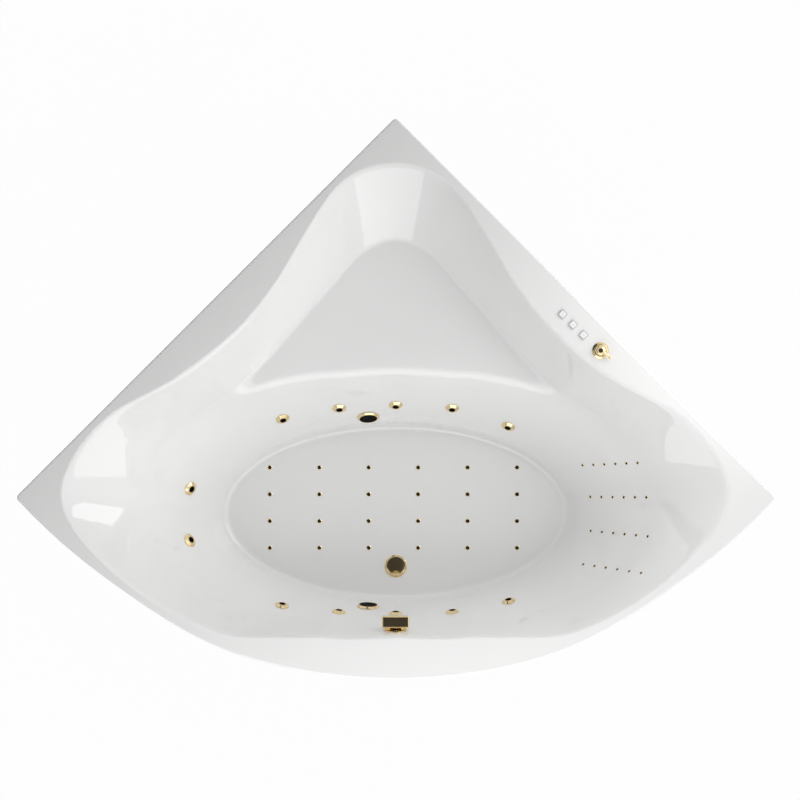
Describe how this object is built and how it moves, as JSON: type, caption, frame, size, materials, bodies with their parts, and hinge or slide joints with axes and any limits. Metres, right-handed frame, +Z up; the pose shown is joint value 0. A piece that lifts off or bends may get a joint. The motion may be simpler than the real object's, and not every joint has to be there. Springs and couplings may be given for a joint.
{
  "type": "corner jetted bathtub",
  "caption": "White acrylic corner jetted bath with a corner seat, gold jets, air injectors, pop-up drain, deck controls, steel frame on levelling feet, pump and blower.",
  "frame": {"origin": "centre of the bounding box on the floor, level with the foot pads", "axes": "+X to the right along the long diagonal edge, +Y to the room corner, +Z up"},
  "size_m": [2.112, 1.5636, 0.6392],
  "materials": {
    "white_acrylic": "polished white cast acrylic",
    "gold_fittings": "mirror-polished gold-coloured plating",
    "black_plastic": "moulded black plastic",
    "white_buttons": "moulded white plastic with plain grey icons",
    "grey_bezels": "satin grey moulded frame",
    "grey_frame": "satin grey powder coat",
    "zinc_steel": "zinc-plated steel",
    "plywood": "sealed plywood",
    "white_pipework": "moulded white plastic",
    "clear_hose": "milky flexible hose",
    "grey_hose": "grey flexible hose",
    "motor_metal": "painted die-cast shell",
    "dark_plastic": "textured dark plastic",
    "light_plastic": "light grey moulded box"
  },
  "bodies": {
    "tub": {"air_valve_base": "gold_fittings", "air_valve_body": "white_pipework", "back_air_bodies": "white_pipework", "back_air_caps": "gold_fittings", "back_air_hoses": "clear_hose", "blower_housing": "dark_plastic", "button_housings": "grey_bezels", "control_box": "light_plastic", "control_box_lid": "light_plastic", "deck_nuts": "white_pipework", "drain_flange": "gold_fittings", "drain_trap": "white_pipework", "equipment_board": "plywood", "floor_air_bodies": "white_pipework", "floor_air_caps": "gold_fittings", "floor_air_hoses": "clear_hose", "floor_battens": "plywood", "foot_nuts": "zinc_steel", "frame": "grey_frame", "jet_air_hoses": "clear_hose", "jet_bezels": "gold_fittings", "jet_bodies": "white_pipework", "overflow_body": "white_pipework", "overflow_face": "gold_fittings", "overflow_hose": "grey_hose", "popup_cable": "black_plastic", "pump_casing": "black_plastic", "pump_motor": "motor_metal", "suction_bodies": "white_pipework", "suction_grilles": "black_plastic", "suction_hoses": "grey_hose", "suction_rings": "gold_fittings", "tub_shell": "white_acrylic", "water_hoses": "clear_hose"},
    "foot_left": {"foot_left": "zinc_steel"},
    "foot_right": {"foot_right": "zinc_steel"},
    "foot_corner": {"foot_corner": "zinc_steel"},
    "foot_front_left": {"foot_front_left": "zinc_steel"},
    "foot_front_right": {"foot_front_right": "zinc_steel"},
    "jet_nozzle_01": {"jet_nozzle_01": "black_plastic"},
    "jet_nozzle_02": {"jet_nozzle_02": "black_plastic"},
    "jet_nozzle_03": {"jet_nozzle_03": "black_plastic"},
    "jet_nozzle_04": {"jet_nozzle_04": "black_plastic"},
    "jet_nozzle_05": {"jet_nozzle_05": "black_plastic"},
    "jet_nozzle_06": {"jet_nozzle_06": "black_plastic"},
    "jet_nozzle_07": {"jet_nozzle_07": "black_plastic"},
    "jet_nozzle_08": {"jet_nozzle_08": "black_plastic"},
    "jet_nozzle_09": {"jet_nozzle_09": "black_plastic"},
    "jet_nozzle_10": {"jet_nozzle_10": "black_plastic"},
    "jet_nozzle_11": {"jet_nozzle_11": "black_plastic"},
    "jet_nozzle_12": {"jet_nozzle_12": "black_plastic"},
    "button_1": {"button_1": "white_buttons"},
    "button_2": {"button_2": "white_buttons"},
    "button_3": {"button_3": "white_buttons"},
    "air_valve_lever": {"air_valve_lever": "gold_fittings"},
    "drain_plug": {"drain_plug": "gold_fittings"},
    "overflow_knob": {"overflow_knob": "gold_fittings"},
    "pump_impeller": {"pump_impeller": "black_plastic"},
    "blower_fan": {"blower_fan": "black_plastic"}
  },
  "joints": [
    {"name": "foot_left_height", "type": "slide", "parent": "tub", "child": "foot_left", "axis": [0, 0, 1], "range_m": [-0.015, 0.01]},
    {"name": "foot_right_height", "type": "slide", "parent": "tub", "child": "foot_right", "axis": [0, 0, 1], "range_m": [-0.015, 0.01]},
    {"name": "foot_corner_height", "type": "slide", "parent": "tub", "child": "foot_corner", "axis": [0, 0, 1], "range_m": [-0.015, 0.01]},
    {"name": "foot_front_left_height", "type": "slide", "parent": "tub", "child": "foot_front_left", "axis": [0, 0, 1], "range_m": [-0.015, 0.01]},
    {"name": "foot_front_right_height", "type": "slide", "parent": "tub", "child": "foot_front_right", "axis": [0, 0, 1], "range_m": [-0.015, 0.01]},
    {"name": "jet_nozzle_01_aim", "type": "hinge", "parent": "tub", "child": "jet_nozzle_01", "pos_m": [0.32989, -0.07918, 0.30524], "axis": [-0.9502, 0.3117, 0], "range_deg": [-15, 15]},
    {"name": "jet_nozzle_02_aim", "type": "hinge", "parent": "tub", "child": "jet_nozzle_02", "pos_m": [0.16498, -0.02591, 0.33519], "axis": [-0.9965, 0.0837, 0], "range_deg": [-15, 15]},
    {"name": "jet_nozzle_03_aim", "type": "hinge", "parent": "tub", "child": "jet_nozzle_03", "pos_m": [0, -0.0171, 0.33516], "axis": [-1, 0, 0], "range_deg": [-15, 15]},
    {"name": "jet_nozzle_04_aim", "type": "hinge", "parent": "tub", "child": "jet_nozzle_04", "pos_m": [-0.16498, -0.02591, 0.33519], "axis": [-0.9965, -0.0837, 0], "range_deg": [-15, 15]},
    {"name": "jet_nozzle_05_aim", "type": "hinge", "parent": "tub", "child": "jet_nozzle_05", "pos_m": [-0.3299, -0.05677, 0.33526], "axis": [-0.9587, -0.2845, 0], "range_deg": [-15, 15]},
    {"name": "jet_nozzle_06_aim", "type": "hinge", "parent": "tub", "child": "jet_nozzle_06", "pos_m": [-0.5993, -0.26054, 0.33329], "axis": [-0.2244, -0.9499, -0.2173], "range_deg": [-15, 15]},
    {"name": "jet_nozzle_07_aim", "type": "hinge", "parent": "tub", "child": "jet_nozzle_07", "pos_m": [-0.59941, -0.41089, 0.35109], "axis": [0.3143, -0.9142, 0.2557], "range_deg": [-15, 15]},
    {"name": "jet_nozzle_08_aim", "type": "hinge", "parent": "tub", "child": "jet_nozzle_08", "pos_m": [-0.32989, -0.59891, 0.37021], "axis": [0.9853, -0.171, 0], "range_deg": [-15, 15]},
    {"name": "jet_nozzle_09_aim", "type": "hinge", "parent": "tub", "child": "jet_nozzle_09", "pos_m": [-0.16498, -0.61762, 0.37003], "axis": [0.9937, -0.1122, 0], "range_deg": [-15, 15]},
    {"name": "jet_nozzle_10_aim", "type": "hinge", "parent": "tub", "child": "jet_nozzle_10", "pos_m": [0, -0.62239, 0.37002], "axis": [1, 0, 0], "range_deg": [-15, 15]},
    {"name": "jet_nozzle_11_aim", "type": "hinge", "parent": "tub", "child": "jet_nozzle_11", "pos_m": [0.16498, -0.61762, 0.37003], "axis": [0.9937, 0.1122, 0], "range_deg": [-15, 15]},
    {"name": "jet_nozzle_12_aim", "type": "hinge", "parent": "tub", "child": "jet_nozzle_12", "pos_m": [0.32985, -0.58903, 0.34023], "axis": [0.9767, 0.2145, 0], "range_deg": [-15, 15]},
    {"name": "button_1_press", "type": "slide", "parent": "tub", "child": "button_1", "axis": [0, 0, -1], "range_m": [0, 0.0015], "stiffness_N_per_m": 300, "springref_m": -0.0005},
    {"name": "button_2_press", "type": "slide", "parent": "tub", "child": "button_2", "axis": [0, 0, -1], "range_m": [0, 0.0015], "stiffness_N_per_m": 300, "springref_m": -0.0005},
    {"name": "button_3_press", "type": "slide", "parent": "tub", "child": "button_3", "axis": [0, 0, -1], "range_m": [0, 0.0015], "stiffness_N_per_m": 300, "springref_m": -0.0005},
    {"name": "air_valve_turn", "type": "hinge", "parent": "tub", "child": "air_valve_lever", "pos_m": [0.57134, 0.13623, 0.62], "axis": [0, 0, 1], "range_deg": [-90, 90]},
    {"name": "overflow_knob_turn", "type": "hinge", "parent": "tub", "child": "overflow_knob", "pos_m": [0, -0.65021, 0.55402], "axis": [0, 0.9876, 0.1567], "range_deg": [0, 90]},
    {"name": "drain_plug_lift", "type": "slide", "parent": "tub", "child": "drain_plug", "axis": [0, 0, 1], "range_m": [0, 0.01]},
    {"name": "pump_spin", "type": "hinge", "parent": "tub", "child": "pump_impeller", "pos_m": [-0.134, 0.20378, 0.244], "axis": [1, 0, 0], "continuous": true},
    {"name": "blower_spin", "type": "hinge", "parent": "tub", "child": "blower_fan", "pos_m": [0.215, 0.20378, 0.2], "axis": [0, 0, 1], "continuous": true}
  ],
  "couplings": [
    {"joint": "drain_plug_lift", "follows": "overflow_knob_turn", "m_per_rad": 0.0063662}
  ]
}
